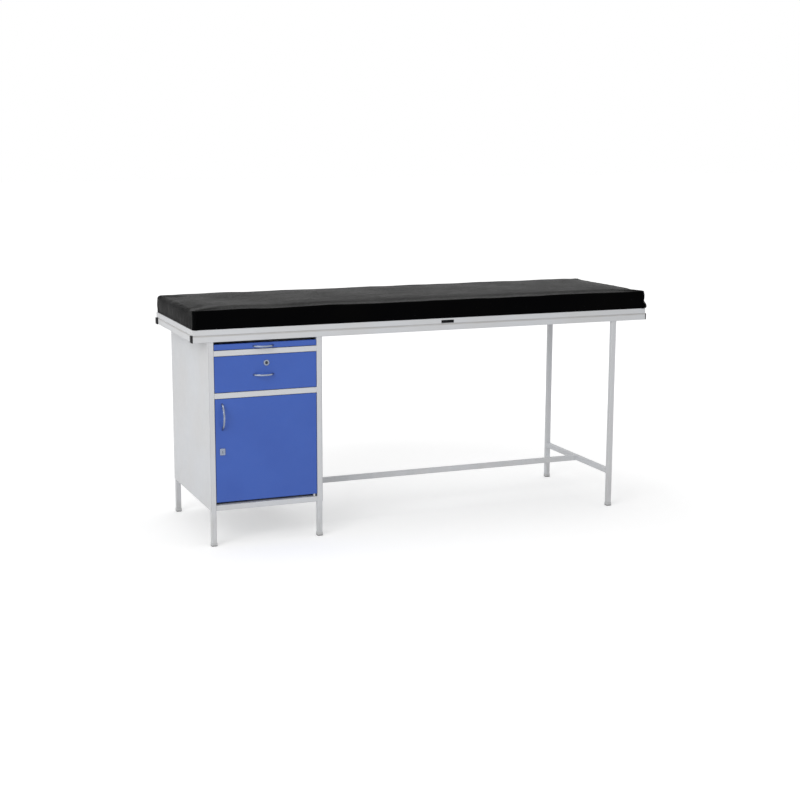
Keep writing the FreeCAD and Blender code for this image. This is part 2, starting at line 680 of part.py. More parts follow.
def drawer():
    """The lockable drawer."""
    box_y = (front_back_y, drawer_back_y)
    box_z = (drawer_bottom, drawer_bottom + DRAWER_WALL)
    spread = screw_spread(FRONT_HANDLE_LENGTH)
    screws = [(handle_x - spread, drawer_handle_z), (handle_x + spread, drawer_handle_z)]
    riveted = rivet_places(drawer_bottom)
    lock = cam_lock("drawer_lock", lock_flange_round(), drawer_lock_x, drawer_lock_z, 0)
    barrel_way = barrel_hole(drawer_lock_x, drawer_lock_z, cam_y - face_y)
    front = folded_front(tray_front_x, drawer_front_z, FRONT_DEPTH, FRONT_FLANGE)
    handle = bow_handle(FRONT_HANDLE_LENGTH, FRONT_HANDLE_REACH)
    handle.translate(Vector(handle_x, face_y, drawer_handle_z))
    floor, walls = plate_box(box_x, box_y, box_z)
    pieces = {
        "drawer_floor": floor,
        "drawer_walls": [cut_all(wall, rivet_holes(riveted) + [barrel_way]) for wall in walls],
        "drawer_front": cut_all(front, screw_holes(screws) + rivet_holes(riveted) + [barrel_way]),
        "drawer_rivets": rivets(riveted),
        "drawer_handle": handle,
        "drawer_handle_screws": handle_screws(screws),
        "drawer_runners": runner_pair(middle_rail_top, drawer_back_y),
    }
    pieces.update(lock)
    return pieces


def door_pivots():
    """Pins in the door's right corners, and the bushes in the rails that they turn in."""
    top_return = door_z[1] - FRONT_SKIN
    bottom_return = door_z[0] + FRONT_SKIN
    top_engaged = middle_rail_bottom + BUSH_DEPTH - top_return
    bottom_start = bottom_rail_top - BUSH_DEPTH
    shoulder_start = bottom_rail_top + BUSH_FLANGE + RUN_CLEAR
    top_pin = joined([
        rod(hinge_x, hinge_y, top_return - PIN_HEAD, UP, PIN_HEAD_RADIUS, PIN_HEAD),
        rod(hinge_x, hinge_y, top_return, UP, PIN_RADIUS, top_engaged),
    ])
    bottom_pin = joined([
        rod(hinge_x, hinge_y, bottom_start, UP, PIN_RADIUS, bottom_return - bottom_start),
        rod(hinge_x, hinge_y, shoulder_start, UP, PIN_HEAD_RADIUS, door_z[0] - shoulder_start),
        rod(hinge_x, hinge_y, bottom_return, UP, PIN_HEAD_RADIUS, PIN_HEAD),
    ])
    bushes = []
    for wall, inward in ((middle_rail_bottom, UP), (bottom_rail_top, -UP)):
        flange = rod(hinge_x, hinge_y, wall, -inward, BUSH_FLANGE_RADIUS, BUSH_FLANGE)
        sleeve = rod(hinge_x, hinge_y, wall, inward, BUSH_RADIUS, BUSH_DEPTH)
        bore_start = wall - inward.z * BUSH_FLANGE
        bore = rod(hinge_x, hinge_y, bore_start, inward, PIN_RADIUS + PIN_RUN, BUSH_FLANGE + BUSH_DEPTH)
        bushes.append(joined([flange, sleeve]).cut(bore))
    return [top_pin, bottom_pin], bushes


def door():
    """The lockable cupboard door, its pivots and the tabs that it closes against."""
    y = (face_y, door_back_y)
    outer = block(door_x, y, door_z)
    outer = outer.makeFillet(FOLD_RADIUS, edges_at(outer, Y_AXIS, face_y))
    inside = block(shrunk(door_x, FRONT_SKIN), (face_y + FRONT_SKIN, door_back_y), shrunk(door_z, FRONT_SKIN))
    pin_way = rod(hinge_x, hinge_y, door_z[0], UP, PIN_RADIUS + SCREW_FIT, door_z[1] - door_z[0])
    spread = screw_spread(DOOR_HANDLE_LENGTH)
    screws = [(door_handle_x, door_handle_z - spread), (door_handle_x, door_handle_z + spread)]
    lock_down = 90
    lock = cam_lock("door_lock", lock_flange_plate(), door_lock_x, door_lock_z, lock_down)
    barrel_way = barrel_hole(door_lock_x, door_lock_z, DOOR_DEPTH)
    liner_inset = FRONT_SKIN + LINER_FIT
    liner_x = shrunk(door_x, liner_inset)
    liner_z = shrunk(door_z, liner_inset)
    liner_front = hinge_y + PIN_HEAD_RADIUS + STOP_GAP
    liner = block(liner_x, (liner_front, door_back_y), liner_z)
    liner_hollow = block(
        shrunk(liner_x, LINER_SHEET),
        (liner_front, door_back_y - LINER_SHEET),
        shrunk(liner_z, LINER_SHEET),
    )
    handle = bow_handle(DOOR_HANDLE_LENGTH, DOOR_HANDLE_REACH)
    handle.rotate(Vector(0, 0, 0), BACK, 90)
    handle.translate(Vector(door_handle_x, face_y, door_handle_z))
    pins, bushes = door_pivots()
    stop_y = (-leg_in, -leg_in + DOOR_STOP_SHEET)
    stop_x = around(left_leg_x[1], DOOR_STOP_LENGTH)
    stops = [
        block(stop_x, stop_y, around(place, DOOR_STOP_HEIGHT))
        for place in (door_z[0] + DOOR_STOP_INSET, door_z[1] - DOOR_STOP_INSET)
    ]
    pieces = {
        "door_panel": cut_all(outer, [inside, pin_way, barrel_way] + screw_holes(screws)),
        "door_liner": cut_all(liner, [liner_hollow, barrel_way]),
        "door_handle": handle,
        "door_handle_screws": handle_screws(screws),
        "door_pivot_pins": pins,
        "door_bushes": bushes,
        "door_stops": stops,
    }
    pieces.update(lock)
    return pieces


def export_all(pieces):
    """Moves each piece from the table's centre plane to the frame and writes it to its own file."""
    os.makedirs("parts", exist_ok=True)
    for name, made in pieces.items():
        shape = Part.makeCompound(made) if isinstance(made, list) else made
        shape.translate(Vector(0, centre_plane_y, 0))
        shape.exportStep(f"parts/{name}.step")


def all_pieces():
    """Every piece of the table, by node name."""
    pieces = {}
    for build in (top_frame, table_top, pad, legs_and_base, cabinet_shell, tray, drawer, door):
        pieces.update(build())
    return pieces


export_all(all_pieces())
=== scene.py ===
import math

import bpy
import numpy as np
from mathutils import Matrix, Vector
from mathutils.kdtree import KDTree


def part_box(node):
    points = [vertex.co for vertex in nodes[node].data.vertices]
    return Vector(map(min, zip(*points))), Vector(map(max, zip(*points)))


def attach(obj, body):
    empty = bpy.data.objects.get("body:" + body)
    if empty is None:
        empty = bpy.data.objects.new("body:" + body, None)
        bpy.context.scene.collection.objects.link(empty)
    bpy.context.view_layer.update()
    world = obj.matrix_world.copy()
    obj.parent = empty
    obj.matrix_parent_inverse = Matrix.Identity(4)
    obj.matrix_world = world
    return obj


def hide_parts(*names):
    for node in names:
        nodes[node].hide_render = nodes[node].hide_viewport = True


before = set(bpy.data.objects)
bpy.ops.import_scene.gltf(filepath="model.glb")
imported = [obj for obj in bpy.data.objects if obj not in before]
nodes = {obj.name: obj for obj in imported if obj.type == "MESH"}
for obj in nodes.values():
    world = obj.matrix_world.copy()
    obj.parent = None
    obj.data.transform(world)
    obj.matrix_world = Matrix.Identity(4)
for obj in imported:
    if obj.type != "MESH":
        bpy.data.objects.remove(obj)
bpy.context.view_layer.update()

# Camera at the photograph's angle: places in metres, turns in degrees, lens and sensor in millimetres
CAMERA_PLACE = (-2.2263, -5.4479, 1.5388)
CAMERA_TURN = (79.404, -0.209, -21.989)
CAMERA_LENS = 68.54
CAMERA_SENSOR = 36.0
CAMERA_SEES_TO = 100.0

# Lamps: places and sizes in metres, power in watts
LAMPS = {
    "key": {"place": (-4.0, -3.5, 2.9), "aim": (0.0, 0.0, 0.5), "size": 3.0, "power": 110},
    "top": {"place": (0.4, 0.6, 4.2), "aim": (0.0, 0.0, 0.8), "size": 3.5, "power": 40},
}

# White sky and floor, with distances in metres
WHITE_LIGHT = (1.0, 1.0, 1.0, 1.0)
SKY_LIGHT = 0.55
BACKGROUND = 1.0
FLOOR_REACH = 30.0
FLOOR_COLOUR = 0.86
FLOOR_GLOW = 0.34
FLOOR_FAR_GLOW = 0.60
FLOOR_NEAR = 1.1
FLOOR_FAR = 2.8

# Colours, as the shader takes them
WHITE_PAINT = (0.66, 0.675, 0.70)
WHITE_PAINT_WARM = (0.645, 0.65, 0.66)
BLUE_PAINT = (0.047, 0.118, 0.47)
BLUE_PAINT_DEEP = (0.042, 0.107, 0.44)
# Dark colour for specks and dirt, and for the painted shade in the top sheet's seam
GRIME_AND_SHADE = (0.36, 0.34, 0.31)
FLOOR_DIRT = (0.05, 0.048, 0.045)
LEATHERETTE = (0.0012, 0.0012, 0.0016)
LEATHERETTE_RUBBED = (0.0022, 0.0021, 0.0021)
# Paler colour painted on the pad's top as sheen
LEATHERETTE_PAINTED_SHEEN = (0.022, 0.0217, 0.0210)
# Painted shade in the grain's grooves
LEATHERETTE_GROOVE_SHADE = (0.0006, 0.0006, 0.0007)
# Paler colour on ridges and fold edges, partly wear and partly painted highlight
LEATHERETTE_WORN_AND_HIGHLIT = (0.012, 0.0118, 0.0115)
# Chrome darker and bluer than plating is: painted reflection of the dark blue fronts around the handles
# and locks
CHROME_AND_BLUE_REFLECTION = (0.29, 0.33, 0.42)
CHROME_SMUDGED_AND_BLUE_REFLECTION = (0.23, 0.26, 0.33)
# Dark colours painted on the drawer lock's plug as the shade in its recessed centre
LOCK_CORE_SHADE = (0.090, 0.096, 0.118)
LOCK_CORE_SHADE_SMUDGED = (0.055, 0.058, 0.068)
ZINC = (0.50, 0.51, 0.53)
ZINC_TINT = (0.50, 0.47, 0.38)
BLACK_PLASTIC = (0.007, 0.007, 0.008)
BLACK_PLASTIC_SCUFFED = (0.028, 0.028, 0.029)
GREY_PLASTIC = (0.56, 0.565, 0.57)
GREY_PLASTIC_SCUFFED = (0.63, 0.635, 0.64)
NYLON = (0.46, 0.45, 0.41)
NYLON_SOILED = (0.34, 0.33, 0.29)
FOAM = (0.66, 0.57, 0.33)
FOAM_PITS = (0.50, 0.42, 0.22)
PLYWOOD_PALE = (0.52, 0.38, 0.23)
PLYWOOD_DARK = (0.36, 0.24, 0.13)

# Leatherette's dullness: the least of it, and what rubbing and unevenness add
DULL_LEAST = 0.28
DULL_RUBBED = 0.06
DULL_UNEVEN = 0.14

# Dirt low down and on the feet, and painted shade in the top sheet's seam, in metres: where each is
# full and where it ends
SOIL_FULL = 0.02
SOIL_END = 0.16
FOOT_DIRT_END = 0.007
SEAM_DROP = 0.0024
SEAM_FULL = 0.0010
SEAM_END = 0.0046

# Pad, in metres
PAD_TOP_EDGE = 0.006
PAD_END_EDGE = 0.020
PAD_REAR_CORNER_EDGE = 0.014
PAD_END_REACH = 0.080
PAD_BOTTOM_EDGE = 0.002
PAD_CORNER = 0.014
PAD_START_SMALLER = 0.0005
PAD_MOST_SWELL = 0.004
PAD_MOST_SAG = 0.0010
PAD_SAG_DEPTH = 0.03
PAD_MOST_DENT = 0.0004
PAD_BULGE = 0.0020
PAD_BULGE_REACH = 0.10
PAD_REAR_SETTLE = 0.0032
PAD_UNDERSIDE = 0.001
BOARD_TOP = 0.0145
BOARD_MARGIN = 0.004

# Division of the pad and of the coarser one that swells: an edge band, spacings in metres, levels
PAD_MESH = {"band": 0.036, "fine": 0.0012, "coarse": 0.0085, "levels": 41}
SWELL_MESH = {"band": 0.05, "fine": 0.006, "coarse": 0.015, "levels": 13}

# Cover that swells over the foam as cloth, and how its movement is carried to the fine mesh
CLOTH = {
    "quality": 5,
    "mass": 0.4,
    "tension_stiffness": 25,
    "compression_stiffness": 25,
    "shear_stiffness": 12,
    "bending_stiffness": 0.8,
    "vertex_group_mass": "held",
    "use_pressure": True,
    "uniform_pressure_force": 4,
}
SWELL_FRAMES = 20
SWELL_NEIGHBOURS = 6
SWELL_BLEND = 0.002

# Unevenness of the cover: depth and length of waves in metres, how many are summed, and a seed
BROAD_DENTS = {"depth": 0.0011, "length": 0.34, "count": 5, "seed": 3}
SMALL_DENTS = {"depth": 0.0004, "length": 0.11, "count": 6, "seed": 5}
EDGE_WAVES = {"depth": 0.0008, "length": 0.17, "count": 5, "seed": 8}
BASE_PULLS = {"depth": 0.0007, "length": 0.045, "count": 4, "seed": 11}
SIDE_WAVES = {"depth": 0.0008, "length": 0.16, "count": 5, "seed": 13}
WAVE_SHORTEST = 0.7
WAVE_LONGEST = 1.5
WAVE_PEAK = 1.6
EDGE_WAVES_CLOSER = 3
EDGE_WAVES_REACH = 0.05
SIDE_WAVES_CLOSER = 2.5
END_RUN_START = 2.0

# Creases that spread from the corners over the top: sizes in metres, waves round the corner in radians
CREASE_DEPTH = 0.0006
CREASE_WAVES = 11
CREASE_PHASE = 1.7
CREASE_RISE = (0.004, 0.02)
CREASE_FADE = (0.03, 0.11)

# Folds at the upright corners: sizes in metres, waves up the fold in radians per metre
FOLD_REACH = 0.06
FOLD_START = -0.016
FOLD_PLACE = 0.010
FOLD_SLANT = 0.006
FOLD_HEIGHT = 0.0036
FOLD_GROOVE = 0.0012
FOLD_GROOVE_END = 0.009
FOLD_DROP = 0.0014
FOLD_SWAY = 0.0016
FOLD_SWAY_WAVES = 190
FOLD_SWAY_PHASE = 2.1
FOLD_SHAKE = 0.0008
FOLD_SHAKE_WAVES = 410
FOLD_SWIRL = 0.35
FOLD_SWIRL_WAVES = 130
FOLD_SWIRL_PHASE = 1.3
FOLD_FADE = 0.85
FOLD_FADE_FROM = 0.016
FOLD_FADE_TO = 0.002

# Loose fold at the front right corner, in metres
EAR_REACH = 0.011
EAR_FULL = 0.012
EAR_HEIGHT = 0.034
EAR_FOOT = 0.003
EAR_ALONG = (0.004, 0.030)
EAR_ACROSS = (0.006, 0.034)

# Weld beads, with sizes in metres
BEAD_RADIUS = 0.0021
BEAD_STEP = 0.0016
BEAD_LEAST_STEPS = 4
BEAD_SIDES = 8
BEAD_TIP = 0.45
BEAD_TAPER = 6
BEAD_RIPPLE = 0.10
BEAD_UNEVEN = 0.10

# Sides of each leg where its weld under the top shows
LEG_WELDS = {
    "left_front_leg": ("front", "right"),
    "left_rear_leg": ("right", "front"),
    "middle_front_leg": ("front", "left"),
    "middle_rear_leg": ("left", "front"),
    "right_front_leg": ("front", "back", "left", "right"),
    "right_rear_leg": ("front", "back", "left", "right"),
}

# Lengths below this count as none
TINY = 1e-9

# Places of a mix node's inputs and output that take colours
MIX_SHARE = 0
MIX_FIRST = 6
MIX_SECOND = 7
MIX_RESULT = 2


def new_node(tree, kind, inputs=None, **settings):
    """A new shader node with some settings and inputs; an input that is a socket is linked."""
    made = tree.nodes.new(kind)
    for key, value in settings.items():
        setattr(made, key, value)
    for key, value in (inputs or {}).items():
        socket = made.inputs[key]
        if isinstance(value, bpy.types.NodeSocket):
            tree.links.new(value, socket)
        else:
            socket.default_value = value
    return made


def new_material(name, settings):
    """A material, its tree, its shader and places on the piece in metres."""
    material = bpy.data.materials.new(name)
    material.use_nodes = True
    tree = material.node_tree
    shader = tree.nodes["Principled BSDF"]
    for key, value in settings.items():
        shader.inputs[key].default_value = value
    where = new_node(tree, "ShaderNodeTexCoord").outputs["Object"]
    return material, tree, shader, where


def stretched(tree, where, scale):
    """Places scaled along each axis."""
    return new_node(tree, "ShaderNodeMapping", {"Vector": where, "Scale": scale}).outputs["Vector"]


def noise(tree, where, scale, detail=2.0, roughness=0.5):
    """Soft noise from 0 to 1."""
    inputs = {"Vector": where, "Scale": scale, "Detail": detail, "Roughness": roughness}
    return new_node(tree, "ShaderNodeTexNoise", inputs).outputs["Fac"]


def cells(tree, where, scale, feature="F1"):
    """Distance from the middles of scattered cells, or from the edges between them."""
    inputs = {"Vector": where, "Scale": scale}
    made = new_node(tree, "ShaderNodeTexVoronoi", inputs, feature=feature)
    return made.outputs["Distance"]


def ranged(tree, value, span, onto=(0.0, 1.0)):
    """A value mapped from one span onto another and held inside it."""
    inputs = {
        "Value": value,
        "From Min": span[0],
        "From Max": span[1],
        "To Min": onto[0],
        "To Max": onto[1],
    }
    return new_node(tree, "ShaderNodeMapRange", inputs).outputs["Result"]


def worked(tree, operation, *values):
    """The result of a named operation on one or two values."""
    return new_node(tree, "ShaderNodeMath", dict(enumerate(values)), operation=operation).outputs[0]


def times(tree, first, second):
    """The product of two values."""
    return worked(tree, "MULTIPLY", first, second)


def plus(tree, first, second):
    """The sum of two values."""
    return worked(tree, "ADD", first, second)


def mixed(tree, share, first, second):
    """A colour between two, by a share."""
    made = new_node(tree, "ShaderNodeMix", data_type="RGBA")
    for place, value in ((MIX_SHARE, share), (MIX_FIRST, first), (MIX_SECOND, second)):
        if isinstance(value, bpy.types.NodeSocket):
            tree.links.new(value, made.inputs[place])
        else:
            made.inputs[place].default_value = (*value, 1.0)
    return made.outputs[MIX_RESULT]


def upright(tree, vector):
    """The upright part of a vector: the height of a place, or how far a face looks up."""
    return new_node(tree, "ShaderNodeSeparateXYZ", {"Vector": vector}).outputs["Z"]


def layer(height, strength, depth):
    """One layer of relief: a height from 0 to 1, its strength and its depth in metres."""
    return {"Height": height, "Strength": strength, "Distance": depth}


def surfaced(tree, shader, colour, relief, roughness=None):
    """Links a shader's colour and roughness, and its relief in layers."""
    tree.links.new(colour, shader.inputs["Base Color"])
    if roughness is not None:
        tree.links.new(roughness, shader.inputs["Roughness"])
    normal = None
    for inputs in relief:
        if normal is not None:
            inputs["Normal"] = normal
        normal = new_node(tree, "ShaderNodeBump", inputs).outputs["Normal"]
    tree.links.new(normal, shader.inputs["Normal"])


def powder_coat(name, colour, second, darkening):
    """Baked powder coat: orange peel, faint waves, specks, soil low down and painted shade in the top's
    seam.
    """
    material, tree, shader, where = new_material(name, {"Specular IOR Level": 0.42})
    patches = ranged(tree, noise(tree, where, scale=5.0, detail=3.0), (0.35, 0.65))
    painted = mixed(tree, patches, colour, second)
    specks = ranged(tree, cells(tree, where, scale=90.0), (0.05, 0.09), (0.35, 0.0))
    speck_places = ranged(tree, noise(tree, where, scale=23.0, detail=1.0), (0.58, 0.66))
    specked = mixed(tree, times(tree, specks, speck_places), painted, GRIME_AND_SHADE)
    low_down = ranged(tree, upright(tree, where), (SOIL_FULL, SOIL_END), (darkening, 0.0))
    streaks = noise(tree, stretched(tree, where, (1.0, 1.0, 0.3)), scale=60.0, detail=4.0)
    smears = ranged(tree, streaks, (0.4, 0.7))
    # Painted shade: a dark band at the height of the seam between the top sheet's folded edge and the
    # tubes
    above_seam = plus(tree, upright(tree, where), SEAM_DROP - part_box("front_top_tube")[1].z)
    off_seam = worked(tree, "ABSOLUTE", above_seam)
    seam_shade = ranged(tree, off_seam, (SEAM_FULL, SEAM_END), (darkening, 0.0))
    seam_shade_patches = ranged(tree, noise(tree, where, scale=14.0, detail=3.0), (0.3, 0.6), (0.7, 1.2))
    dirt_and_seam_shade = plus(tree, times(tree, low_down, smears), times(tree, seam_shade, seam_shade_patches))
    rubbed = noise(tree, where, scale=34.0, detail=4.0, roughness=0.6)
    waves = noise(tree, where, scale=7.0, detail=1.0)
    peel = noise(tree, where, scale=520.0, roughness=0.4)
    surfaced(
        tree,
        shader,
        colour=mixed(tree, dirt_and_seam_shade, specked, GRIME_AND_SHADE),
        roughness=ranged(tree, rubbed, (0.3, 0.7), (0.36, 0.50)),
        relief=[
            layer(waves, strength=0.35, depth=0.0012),
            layer(peel, strength=0.30, depth=0.0002),
        ],
    )
    return material


def leatherette(name):
    """Black coated cloth: pebbled grain with painted shade in its grooves, fine pores, paler rubbed
    patches, patchy painted sheen on faces that look up, and edges painted paler, partly as wear and
    partly as highlight.
    """
    material, tree, shader, where = new_material(name, {"Specular IOR Level": 0.01})
    wander = new_node(tree, "ShaderNodeTexNoise", {"Vector": where, "Scale": 240.0, "Detail": 2.0})
    sway = {0: wander.outputs["Color"], "Scale": 0.0016}
    shift = new_node(tree, "ShaderNodeVectorMath", sway, operation="SCALE").outputs["Vector"]
    bent = new_node(tree, "ShaderNodeVectorMath", {0: where, 1: shift}, operation="ADD")
    pebbling = cells(tree, bent.outputs["Vector"], scale=620.0, feature="DISTANCE_TO_EDGE")
    grain = ranged(tree, pebbling, (0.0, 0.16))
    rubbing = noise(tree, where, scale=4.5, detail=4.0, roughness=0.6)
    rubbed = ranged(tree, rubbing, (0.40, 0.72))
    pebbles = mixed(tree, rubbed, LEATHERETTE, LEATHERETTE_RUBBED)
    # Painted sheen: faces that look up are painted paler in patches
    face = new_node(tree, "ShaderNodeNewGeometry")
    upward = ranged(tree, upright(tree, face.outputs["Normal"]), (0.75, 0.97))
    along = stretched(tree, where, (0.5, 1.0, 1.0))
    sheen_patches = noise(tree, along, scale=6.0, detail=5.0, roughness=0.62)
    painted_sheen = times(tree, upward, ranged(tree, sheen_patches, (0.36, 0.68), (0.2, 1.0)))
    sheened = mixed(tree, painted_sheen, pebbles, LEATHERETTE_PAINTED_SHEEN)
    # Painted shade: the grain's grooves are painted darker than the pebbles
    groove_shaded = mixed(tree, grain, LEATHERETTE_GROOVE_SHADE, sheened)
    # Ridges and fold edges are painted paler, partly as wear and partly as painted highlight
    ridges_worn_and_highlit = ranged(tree, face.outputs["Pointiness"], (0.54, 0.62))
    patchy = ranged(tree, noise(tree, where, scale=45.0, detail=3.0), (0.35, 0.65), (0.1, 0.9))
    uneven = times(tree, noise(tree, where, scale=55.0, detail=3.0), DULL_UNEVEN)
    dull = plus(tree, times(tree, rubbed, DULL_RUBBED), uneven)
    surfaced(
        tree,
        shader,
        colour=mixed(tree, times(tree, ridges_worn_and_highlit, patchy), groove_shaded, LEATHERETTE_WORN_AND_HIGHLIT),
        roughness=plus(tree, dull, DULL_LEAST),
        relief=[
            layer(noise(tree, where, scale=16.0), strength=0.25, depth=0.0012),
            layer(grain, strength=0.38, depth=0.0003),
            layer(noise(tree, where, scale=1900.0), strength=0.12, depth=0.0001),
        ],
    )
    return material


def plated(name, colour, smudged):
    """Plated metal with finger smudges and hairline scratches."""
    material, tree, shader, where = new_material(name, {"Metallic": 1.0})
    smudge = noise(tree, where, scale=70.0, detail=4.0, roughness=0.6)
    hairlines = noise(tree, stretched(tree, where, (0.15, 1.0, 1.0)), scale=1800.0)
    surfaced(
        tree,
        shader,
        colour=mixed(tree, smudge, colour, smudged),
        roughness=ranged(tree, smudge, (0.35, 0.7), (0.14, 0.28)),
        relief=[layer(hairlines, strength=0.05, depth=0.0001)],
    )
    return material


def zinc(name):
    """Zinc-plated steel, faintly yellow in patches, with tool marks."""
    material, tree, shader, where = new_material(name, {"Metallic": 1.0})
    patches = ranged(tree, noise(tree, where, scale=160.0, detail=4.0), (0.4, 0.7), (0.0, 0.6))
    marks = noise(tree, stretched(tree, where, (1.0, 6.0, 6.0)), scale=420.0, detail=3.0)
    surfaced(
        tree,
        shader,
        colour=mixed(tree, patches, ZINC, ZINC_TINT),
        roughness=ranged(tree, marks, (0.3, 0.7), (0.28, 0.48)),
        relief=[layer(marks, strength=0.12, depth=0.0002)],
    )
    return material


def moulded(name, colour, scuffed, darkening, gloss):
    """Moulded plastic with a fine spark-eroded texture, paler scuffs and dirt at the floor."""
    material, tree, shader, where = new_material(name, {"Specular IOR Level": gloss})
    scuffing = noise(tree, where, scale=210.0, detail=5.0, roughness=0.65)
    scuffs = ranged(tree, scuffing, (0.56, 0.72), (0.0, 0.8))
    low_down = ranged(tree, upright(tree, where), (0.0, FOOT_DIRT_END), (darkening, 0.0))
    worn = mixed(tree, scuffs, colour, scuffed)
    surfaced(
        tree,
        shader,
        colour=mixed(tree, low_down, worn, FLOOR_DIRT),
        roughness=ranged(tree, scuffs, (0.0, 0.8), (0.46, 0.62)),
        relief=[layer(noise(tree, where, scale=1500.0), strength=0.35, depth=0.0002)],
    )
    return material


def nylon(name):
    """Natural nylon, a little translucent."""
    settings = {"Subsurface Weight": 0.15, "Subsurface Scale": 0.002, "Specular IOR Level": 0.45}
    material, tree, shader, where = new_material(name, settings)
    flow = noise(tree, where, scale=300.0, detail=3.0)
    surfaced(
        tree,
        shader,
        colour=mixed(tree, flow, NYLON, NYLON_SOILED),
        roughness=ranged(tree, flow, (0.3, 0.7), (0.35, 0.5)),
        relief=[layer(noise(tree, where, scale=900.0), strength=0.1, depth=0.0001)],
    )
    return material


def open_foam(name):
    """Yellowed upholstery foam with open cells."""
    settings = {"Roughness": 0.95, "Specular IOR Level": 0.1}
    material, tree, shader, where = new_material(name, settings)
    pits = cells(tree, where, scale=700.0)
    surfaced(
        tree,
        shader,
        colour=mixed(tree, pits, FOAM, FOAM_PITS),
        relief=[layer(pits, strength=0.8, depth=0.0006)],
    )
    return material


def plywood(name):
    """Plywood with grain along the table."""
    material, tree, shader, where = new_material(name, {"Specular IOR Level": 0.25})
    along = stretched(tree, where, (3.0, 60.0, 60.0))
    grain = noise(tree, along, scale=4.0, detail=6.0, roughness=0.6)
    surfaced(
        tree,
        shader,
        colour=mixed(tree, ranged(tree, grain, (0.35, 0.65)), PLYWOOD_PALE, PLYWOOD_DARK),
        roughness=ranged(tree, grain, (0.3, 0.7), (0.6, 0.8)),
        relief=[layer(grain, strength=0.3, depth=0.0004)],
    )
    return material


def finish_materials():
    """One material for each of the record's slots."""
    black = {"colour": BLACK_PLASTIC, "scuffed": BLACK_PLASTIC_SCUFFED, "darkening": 0.0, "gloss": 0.05}
    grey = {"colour": GREY_PLASTIC, "scuffed": GREY_PLASTIC_SCUFFED, "darkening": 0.75, "gloss": 0.4}
    return {
        "white_powder_coat": powder_coat("white_coat", WHITE_PAINT, WHITE_PAINT_WARM, darkening=0.45),
        "blue_powder_coat": powder_coat("blue_coat", BLUE_PAINT, BLUE_PAINT_DEEP, darkening=0.0),
        "black_leatherette": leatherette("leatherette"),
        "foam": open_foam("open_foam"),
        "plywood": plywood("board_plywood"),
        "black_plastic": moulded("moulded_black", **black),
        "grey_plastic": moulded("moulded_grey", **grey),
        "white_nylon": nylon("natural_nylon"),
        "chrome_plate": plated("bright_chrome", CHROME_AND_BLUE_REFLECTION, CHROME_SMUDGED_AND_BLUE_REFLECTION),
        "zinc_steel": zinc("zinc_plate"),
    }


def dress_nodes(materials):
    """Gives each CAD node the material of its slot; the drawer's lock plug is painted dark as the shade
    in its recessed centre.
    """
    for node in nodes.values():
        for place in node.material_slots:
            place.material = materials[place.material.name.split(".")[0]]
    # Painted shade: the drawer lock's plug gets a dark plated finish
    shaded_core = plated("lock_core_painted_shade", LOCK_CORE_SHADE, LOCK_CORE_SHADE_SMUDGED)
    for place in nodes["drawer_lock_plug"].material_slots:
        place.material = shaded_core


def new_mesh(name, points, faces):
    """A mesh from points and faces."""
    mesh = bpy.data.meshes.new(name)
    mesh.from_pydata([tuple(p) for p in points], [], faces)
    return mesh


def new_object(name, data):
    """A new object in the scene."""
    made = bpy.data.objects.new(name, data)
    bpy.context.scene.collection.objects.link(made)
    return made


def mesh_piece(name, points, faces, material):
    """A smooth mesh piece that rides on the frame."""
    mesh = new_mesh(name, points, faces)
    mesh.validate()
    mesh.shade_smooth()
    piece = new_object(name, mesh)
    mesh.materials.append(material)
    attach(piece, "frame")
    return piece


def graded(length, band, fine, coarse):
    """Places along a length about its middle, closer together near both ends."""
    near = np.linspace(0, band, round(band / fine) + 1)
    middle = np.linspace(band, length - band, round((length - 2 * band) / coarse) + 1)
    return np.concatenate([near[:-1], middle, length - near[-2::-1]]) - length / 2


def box_surface(places):
    """The points and faces of a closed box that is divided at places along X, Y and Z."""
    index = {}
    points = []
    faces = []

    def corner(key):
        """The number of the point at a key, which is made when it is first asked for."""
        if key not in index:
            index[key] = len(points)
            points.append([places[axis][key[axis]] for axis in range(3)])
        return index[key]

    for axis in range(3):
        across = (axis + 1) % 3
        up = (axis + 2) % 3
        last = len(places[axis]) - 1
        for side in (0, last):
            for a in range(len(places[across]) - 1):
                for b in range(len(places[up]) - 1):
                    ring = []
                    for step_a, step_b in ((0, 0), (1, 0), (1, 1), (0, 1)):
                        key = [0, 0, 0]
                        key[axis] = side
                        key[across] = a + step_a
                        key[up] = b + step_b
                        ring.append(corner(tuple(key)))
                    faces.append(ring if side else ring[::-1])
    return np.array(points), faces


def divided_pad(half, pad_height, band, fine, coarse, levels):
    """The points and faces of a plain box of the pad's size, divided finely near its edges."""
    places = (
        graded(2 * half[0], band, fine, coarse),
        graded(2 * half[1], band, fine, coarse),
        np.linspace(0, pad_height, levels),
    )
    return box_surface(places)


def eased(value, start, end):
    """0 before start, 1 after end and smooth between them."""
    share = np.clip((value - start) / (end - start), 0, 1)
    return share * share * (3 - 2 * share)


def normals_of(points, faces):
    """The outward direction at each point of a closed mesh."""
    mesh = new_mesh("normals", points, faces)
    flat = np.zeros(len(points) * 3, np.float32)
    mesh.vertex_normals.foreach_get("vector", flat)
    bpy.data.meshes.remove(mesh)
    return flat.reshape(-1, 3)


def top_rounding(points, half):
    """Radius of the pad's top edge: its ends and rear corners are rounder than its long sides."""
    to_end = half[0] - np.abs(points[:, 0])
    to_side = half[1] - np.abs(points[:, 1])
    corner = np.where(points[:, 1] > 0, PAD_REAR_CORNER_EDGE, PAD_TOP_EDGE)
    by_end = corner + (PAD_END_EDGE - corner) * eased(to_side, PAD_CORNER, PAD_END_REACH)
    by_side = corner + (PAD_TOP_EDGE - corner) * eased(to_end, PAD_CORNER, PAD_END_REACH)
    return np.where(to_end < to_side, by_end, by_side)


